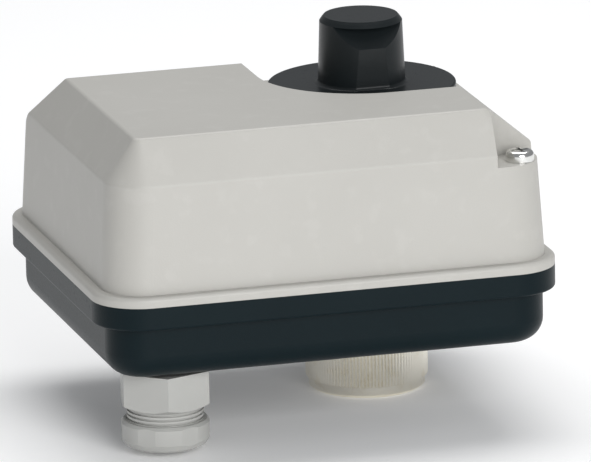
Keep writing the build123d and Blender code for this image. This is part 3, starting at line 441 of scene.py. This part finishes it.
def block(size, bevel):
    """A block with rounded edges, standing on its place."""
    builder = bmesh.new()
    bmesh.ops.create_cube(builder, size=1)
    bmesh.ops.scale(builder, verts=builder.verts, vec=Vector(size) * mm)
    bmesh.ops.translate(builder, verts=builder.verts, vec=(0, 0, size[2] / 2 * mm))
    bmesh.ops.bevel(builder, geom=builder.edges, offset=bevel * mm, segments=2, affect="EDGES", profile=0.6)
    return builder


def lead(name, points, radius, place):
    """A bent wire lead, as a tube of one curve, converted to a mesh."""
    curve = bpy.data.curves.new(name, "CURVE")
    curve.dimensions = "3D"
    curve.bevel_depth = radius * mm
    curve.bevel_resolution = 3
    curve.use_fill_caps = True
    line = curve.splines.new("BEZIER")
    line.bezier_points.add(len(points) - 1)
    for point, spot in zip(line.bezier_points, points):
        point.co = Vector(spot) * mm
        point.handle_left_type = point.handle_right_type = "AUTO"
    wire = bpy.data.objects.new(name + "_line", curve)
    bpy.context.scene.collection.objects.link(wire)
    bpy.context.view_layer.update()
    mesh = bpy.data.meshes.new_from_object(wire)
    bpy.data.objects.remove(wire)
    builder = bmesh.new()
    builder.from_mesh(mesh)
    return piece_from(builder, name, bright, place)


print("board top at", round(board_top / mm, 2), "mm")

# %% [markdown]
# A resistor is a small barrel with colour rings. The rings come from a stepped colour ramp along the
# barrel's length, which keeps them sharp without any extra geometry. The chip is a bevelled block with
# four legs on each side, and a ceramic capacitor is a flat disc standing on two leads.

# %% Resistors, chip and capacitors


barrel_length = 6.4


def banded_finish():
    """Beige lacquer with four colour rings along the body's length."""
    material, shader, start, place = new_finish("resistor_lacquer")
    along_body = start.node("SeparateXYZ", out=1, Vector=place)
    beige, brown = rgba(0.55, 0.42, 0.24), rgba(0.10, 0.03, 0.01)
    black, red, gold = rgba(0.01, 0.01, 0.01), rgba(0.45, 0.02, 0.01), rgba(0.50, 0.34, 0.10)
    stops = [(0.0, beige), (0.22, brown), (0.30, beige), (0.38, black), (0.46, beige), (0.54, red),
             (0.62, beige), (0.76, gold), (0.84, beige)]
    share = along_body * (1 / (barrel_length * mm)) + 0.5
    colour = share.node("ValToRGB", {"stops": stops}, Fac=share)
    colour.socket.node.color_ramp.interpolation = "CONSTANT"
    speck = noise(start, place, 900.0)
    finish_with(start, shader, Base_Color=colour, Roughness=0.22 + speck * 0.1,
                Normal=bump(start, speck, 0.00004, 0.4))
    return material


lacquer = banded_finish()
ceramic = plain_plastic("ceramic_ochre", rgba(0.50, 0.24, 0.05), rgba(0.60, 0.30, 0.07), 0.3)
barrel = [(0, -3.2), (0.8, -3.15), (1.1, -2.9), (1.15, -2.3), (1.0, -1.8), (1.0, 1.8), (1.15, 2.3),
          (1.1, 2.9), (0.8, 3.15), (0, 3.2)]
dome = [(0, 0.75), (0.3, 0.7), (0.45, 0.5), (0.6, 0.2), (0.95, 0.0), (0, 0.0)]
resistor_inset, resistor_start, resistor_pitch = 3.6, 9.5, 10.4
resistor_lift, lead_reach, lead_radius = 1.5, 4.35, 0.27
resistor_x = board_high.x / mm - resistor_inset
for number in range(3):
    middle_y = board_low.y / mm + resistor_start + resistor_pitch * number
    at = Vector((resistor_x * mm, middle_y * mm, board_top + resistor_lift * mm))
    piece_from(turned(barrel, "Y"), f"resistor_{number}", lacquer, at)
    for end, sign in (("a", -1), ("b", 1)):
        bend = [(0, sign * 3.1, 0), (0, sign * 3.9, -0.1), (0, sign * 4.3, -0.6),
                (0, sign * lead_reach, -1.45)]
        lead(f"resistor_lead_{number}{end}", bend, lead_radius, at)
        foot = at + Vector((0, sign * lead_reach * mm, -resistor_lift * mm))
        piece_from(turned(dome), f"solder_{number}{end}", bright, foot)

chip_x, chip_y, chip_gap = -49.4, -49.5, 0.15
pin_pitch, leg_radius = 1.27, 0.17
chip_at = Vector((chip_x * mm, chip_y * mm, board_top + chip_gap * mm))
piece_from(block((3.4, 5.0, 1.5), 0.12), "controller_chip", relay_black, chip_at)
for pin in range(8):
    side = 1 if pin % 2 else -1
    row = (pin // 2 - 1.5) * pin_pitch
    bend = [(side * 1.6, row, 0.8), (side * 1.95, row, 0.75), (side * 2.1, row, 0.2),
            (side * 2.45, row, 0.05)]
    lead(f"chip_leg_{pin}", bend, leg_radius, chip_at)

disc_lift, disc_lead_spread, disc_lead_radius = 2.6, 1.2, 0.25
disc = [(0, -0.9), (1.2, -0.8), (1.9, -0.3), (1.9, 0.3), (1.2, 0.8), (0, 0.9)]
for number, spot_y in enumerate((-57.5, -40.5)):
    at = Vector((chip_x * mm, spot_y * mm, board_top + disc_lift * mm))
    piece_from(turned(disc, "Y"), f"ceramic_capacitor_{number}", ceramic, at)
    for end, shift in (("a", -disc_lead_spread), ("b", disc_lead_spread)):
        drop = [(shift * 0.8, 0, -1.4), (shift, 0, -1.9), (shift, 0, -2.55)]
        lead(f"ceramic_lead_{number}{end}", drop, disc_lead_radius, at)
        piece_from(turned(dome), f"ceramic_solder_{number}{end}", bright,
                   at + Vector((shift * mm, 0, -disc_lift * mm)))
